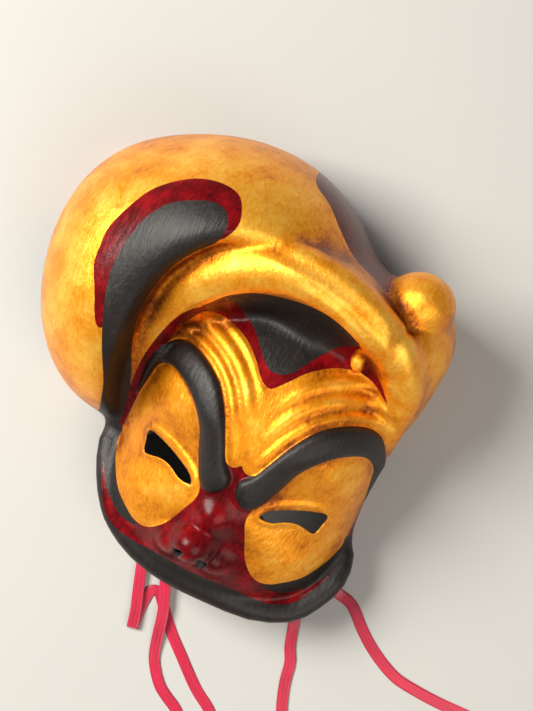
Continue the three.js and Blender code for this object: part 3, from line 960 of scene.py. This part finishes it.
def mixed(tree, share, first, second):
    """Mixes two values."""
    return add(tree, "ShaderNodeMix", {"Factor": share, 2: first, 3: second}, data_type="FLOAT").outputs[0]


def summed(tree, first, second):
    return add(tree, "ShaderNodeMath", {0: first, 1: second}, operation="ADD").outputs[0]


def bumped(tree, shader, height, depth_mm, strength=1.0, below=None):
    """Gives the shader a bump, on top of the one below it if there is one."""
    inputs = {"Height": height, "Distance": depth_mm * MM, "Strength": strength}
    if below:
        inputs["Normal"] = below
    out = add(tree, "ShaderNodeBump", inputs).outputs["Normal"]
    tree.links.new(out, shader.inputs["Normal"])
    return out


def coloured(tree, shader, factor, stops):
    """The shader's colour, from a value and a few stops."""
    tree.links.new(ramp(tree, factor, stops), shader.inputs["Base Color"])


print("material helpers are ready")

# %% [markdown]
# ## Gold leaf
#
# Leaf over gesso is uneven: broad clouds of warmer and paler gold, and fine torn grain. It is darker
# wherever the surface lies below its surroundings, which the corners' "hollow" value tells: partly old
# size and dust, partly painted shade. The steep sides are darker too, as painted shade. Small dark
# specks show where the leaf has worn through.

# %% Gold leaf
gold, tree, shader = material("gold_leaf_over_gesso", Metallic=0.66, Roughness=0.36)
cloud = pattern(tree, 18, detail=5, rough=0.6)
leaf = pattern(tree, 1.5, detail=8, rough=0.72, stretch=(1, 0.45, 1), turn=30)
crackle = pattern(tree, 4.5, detail=7, rough=0.66, stretch=(1, 0.6, 1), turn=-40)
hollow = add(tree, "ShaderNodeAttribute", attribute_name="hollow").outputs["Fac"]
# Painted shade together with old size and dust: darker wherever the surface lies below its surroundings.
hollow_dust_and_shade = spread(tree, hollow, -0.7, 1.1, 0.07, -0.14)
outward = add(tree, "ShaderNodeTexCoord").outputs["Normal"]
slope = add(tree, "ShaderNodeSeparateXYZ", {0: outward}).outputs["Z"]
# Painted shade: the gold gets darker as the surface turns from facing up towards upright.
side = spread(tree, slope, 0.05, 0.75, -0.13, 0.0)
tone = summed(tree, summed(tree, mixed(tree, 0.42, cloud, leaf), hollow_dust_and_shade), side)
colour = ramp(
    tree, tone,
    [(0.2, "#421C02"), (0.32, "#9A4C04"), (0.41, "#D67C08"), (0.51, "#F39812"), (0.67, "#FFC248")],
)
specks = spread(tree, pattern(tree, 2.6, detail=3, rough=0.8), 0.68, 0.82, 0.0, 0.5)
worn = {"Factor": specks, 6: colour, 7: linear("#5A2A05")}
tree.links.new(add(tree, "ShaderNodeMix", worn, data_type="RGBA").outputs[2], shader.inputs["Base Color"])
first = bumped(tree, shader, crackle, depth_mm=1.2, strength=0.5)
bumped(tree, shader, leaf, depth_mm=0.3, strength=0.5, below=first)
print(gold.name, len(tree.nodes), "nodes")

# %% [markdown]
# ## Black lacquer
#
# Thin black is brushed on in streaks, and never quite even, so it is nearly black with brown in it.

# %% Black lacquer
ink, tree, shader = material("black_lacquer", Roughness=0.44, Specular_IOR_Level=0.38)
streak = pattern(tree, 1.8, detail=6, rough=0.65, stretch=(1, 0.16, 1), turn=-25)
mist = pattern(tree, 14, detail=4, rough=0.6)
coloured(
    tree, shader, mixed(tree, 0.45, streak, mist),
    [(0.35, "#0B0807"), (0.55, "#181310"), (0.75, "#2C2420")],
)
bumped(tree, shader, streak, depth_mm=0.6, strength=0.8)
print(ink.name, len(tree.nodes), "nodes")

# %% [markdown]
# ## Crimson lacquer
#
# Crimson is the smoothest paint on the mask. Its colour drifts from dark wine to brick red, and
# broad, low waves under the brush marks break up its highlights.

# %% Crimson lacquer
red, tree, shader = material("crimson_lacquer", Roughness=0.24, Specular_IOR_Level=0.16)
shade = pattern(tree, 10, detail=5, rough=0.6)
brushed = pattern(tree, 1.6, detail=6, rough=0.65, stretch=(1, 0.2, 1), turn=-30)
coloured(
    tree, shader, mixed(tree, 0.4, shade, brushed),
    [(0.32, "#2C0204"), (0.5, "#5C0409"), (0.66, "#860A10"), (0.8, "#A02418")],
)
first = bumped(tree, shader, pattern(tree, 4, detail=4, rough=0.6), depth_mm=0.5, strength=0.4)
bumped(tree, shader, brushed, depth_mm=0.25, strength=0.45, below=first)
print(red.name, len(tree.nodes), "nodes")

# %% [markdown]
# ## Bare paper inside
#
# The lining is unpainted paper, brown with glue. It shows through the eye slits and round the rim.

# %% Bare paper inside
paper, tree, shader = material("bare_paper_lining", Roughness=0.85)
coloured(tree, shader, pattern(tree, 8, detail=5, rough=0.6), [(0.3, "#1E1510"), (0.7, "#3E2C1E")])
bumped(tree, shader, pattern(tree, 3, detail=5, rough=0.7), depth_mm=0.5, strength=0.5)
for finish in (gold, red, ink, paper):
    mask_mesh.materials.append(finish)
print("the mask's finishes:", [m.name for m in mask_mesh.materials])

# %% [markdown]
# ## Satin
#
# The ribbons' own UV map is stretched far along them, so that plain noise turns into fine threads.

# %% Satin ribbon
satin, tree, shader = material("crimson_satin", Roughness=0.3, Sheen_Weight=0.5)
along = add(tree, "ShaderNodeUVMap").outputs["UV"]
ribs = add(tree, "ShaderNodeMapping", {"Vector": along, "Scale": (14, 26, 1)}).outputs["Vector"]
threads = add(tree, "ShaderNodeTexNoise", {"Vector": ribs, "Scale": 1.0, "Detail": 4.0}).outputs["Fac"]
coloured(tree, shader, threads, [(0.3, "#7E0422"), (0.5, "#B40A34"), (0.72, "#DC2450")])
bumped(tree, shader, threads, depth_mm=0.15, strength=0.5)
for piece in ribbons:
    piece.data.materials.append(satin)
print("all materials:", [m.name for m in bpy.data.materials])

# %% [markdown]
# ## Studio
#
# A plain pale floor, one large soft lamp high on the left as the camera sees it, and a weaker one
# low on the right to lift the shadows. Both face a place under the forehead, and each lamp's place is
# so many metres to the right of it, up from it and back from it, as the camera sees them.

# %% Floor and lights
floor_bm = bmesh.new()
bmesh.ops.create_grid(floor_bm, x_segments=1, y_segments=1, size=3)
floor_mesh = bpy.data.meshes.new("studio_floor")
floor_bm.to_mesh(floor_mesh)
floor_bm.free()
floor = bpy.data.objects.new("studio_floor", floor_mesh)
bpy.context.collection.objects.link(floor)
pale, _, _ = material("pale_floor", Base_Color=linear("#B4B3AF"), Roughness=0.9)
floor_mesh.materials.append(pale)

view = camera.matrix_world.to_3x3()
aim = Vector(framed((-10, 45, 40)))


def lamp(name, right, up, back, size, watts, colour):
    """A square area lamp that faces the mask."""
    light = bpy.data.lights.new(name, "AREA")
    light.size, light.energy, light.color = size, watts, linear(colour)[:3]
    made = bpy.data.objects.new(name, light)
    bpy.context.collection.objects.link(made)
    offset = view @ Vector((right, up, back))
    facing = offset.to_track_quat("Z", "Y").to_matrix().to_4x4()
    made.matrix_world = Matrix.Translation(aim + offset) @ facing


lamp("window_light", right=-0.9, up=0.5, back=0.95, size=0.75, watts=38, colour="#FFFBF4")
lamp("fill_light", right=0.4, up=-0.7, back=0.9, size=0.9, watts=8, colour="#FFF6EA")
world = bpy.data.worlds.new("studio")
bpy.context.scene.world = world
bpy.context.scene.view_settings.view_transform = "Standard"  # keeps bright gold yellow instead of pale
world.use_nodes = True
sky = world.node_tree.nodes["Background"]
sky.inputs["Color"].default_value = linear("#C8CCD0")
sky.inputs["Strength"].default_value = 0.38
print("lamps:", [light.name for light in bpy.data.lights], "aimed at", [round(v, 3) for v in aim])
